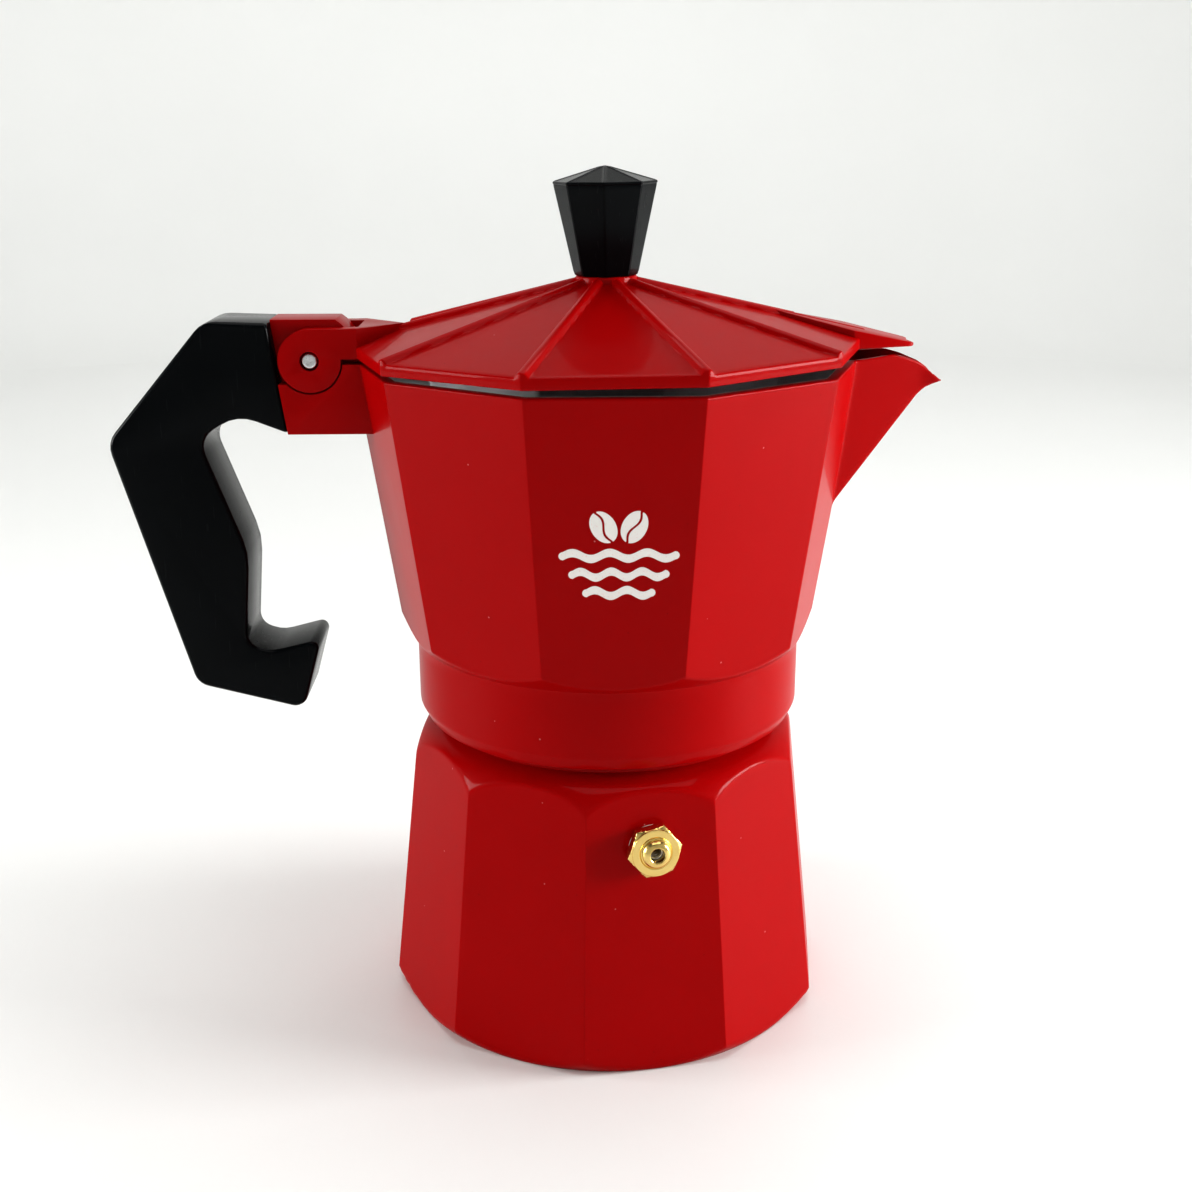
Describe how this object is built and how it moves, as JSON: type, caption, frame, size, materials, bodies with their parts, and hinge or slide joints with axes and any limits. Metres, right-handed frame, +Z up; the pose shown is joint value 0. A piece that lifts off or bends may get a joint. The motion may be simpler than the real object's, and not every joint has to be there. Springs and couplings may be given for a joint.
{
  "type": "moka pot",
  "caption": "Stove-top moka pot with flat-sided boiler and jug, hinged ribbed lid with knob, pouring spout, hooked side handle and brass safety valve.",
  "frame": {"origin": "centre of the boiler's underside, on the surface that the pot stands on", "axes": "+Z up; the handle points along -X and the spout along +X; the safety valve is 10.7 degrees round from -Y towards +X"},
  "size_m": [0.1548, 0.0914, 0.16],
  "materials": {
    "red_lacquer": "glossy deep red lacquer over cast aluminium",
    "black_plastic": "glossy black moulded phenolic plastic",
    "brass": "turned brass",
    "steel": "bright steel",
    "aluminium": "bare satin aluminium",
    "rubber": "off-white moulded silicone rubber",
    "fibre": "pressed fibre washer"
  },
  "bodies": {
    "boiler": {"boiler": "red_lacquer", "valve_body": "brass", "valve_washer": "fibre", "valve_seat": "brass", "valve_spring": "steel"},
    "valve_ball": {"valve_ball": "steel"},
    "funnel": {"funnel": "aluminium", "funnel_stem": "aluminium", "funnel_sieve": "aluminium"},
    "gasket": {"gasket": "rubber"},
    "upper_filter": {"upper_filter": "aluminium"},
    "collector": {"collector": "red_lacquer", "coffee_column": "aluminium", "handle": "black_plastic", "handle_screw": "steel", "handle_washer": "steel", "hinge_pin": "steel"},
    "lid": {"lid": "red_lacquer", "lid_knob": "black_plastic", "knob_insert": "brass", "knob_screw": "steel", "knob_washer": "steel"}
  },
  "joints": [
    {"name": "valve_lift", "type": "slide", "parent": "boiler", "child": "valve_ball", "axis": [0.1846, -0.977, 0.1072], "range_m": [0, 0.0012], "stiffness_N_per_m": 1500, "springref_m": -0.002, "deforming": ["valve_spring"]},
    {"name": "funnel_lift", "type": "slide", "parent": "boiler", "child": "funnel", "axis": [0, 0, 1], "range_m": [0, 0.07]},
    {"name": "top_lift", "type": "slide", "parent": "funnel", "child": "gasket", "axis": [0, 0, 1], "range_m": [0, 0.05]},
    {"name": "collector_rise", "type": "slide", "parent": "gasket", "child": "upper_filter", "axis": [0, 0, 1], "range_m": [0, 0.0045]},
    {"name": "collector_turn", "type": "hinge", "parent": "upper_filter", "child": "collector", "pos_m": [0, 0, 0.066], "axis": [0, 0, 1], "range_deg": [0, 540]},
    {"name": "lid_hinge", "type": "hinge", "parent": "collector", "child": "lid", "pos_m": [-0.054, 0, 0.1263], "axis": [0, -1, 0], "range_deg": [0, 100]}
  ],
  "couplings": [
    {"joint": "collector_rise", "follows": "collector_turn", "m_per_rad": 0.00047746}
  ]
}
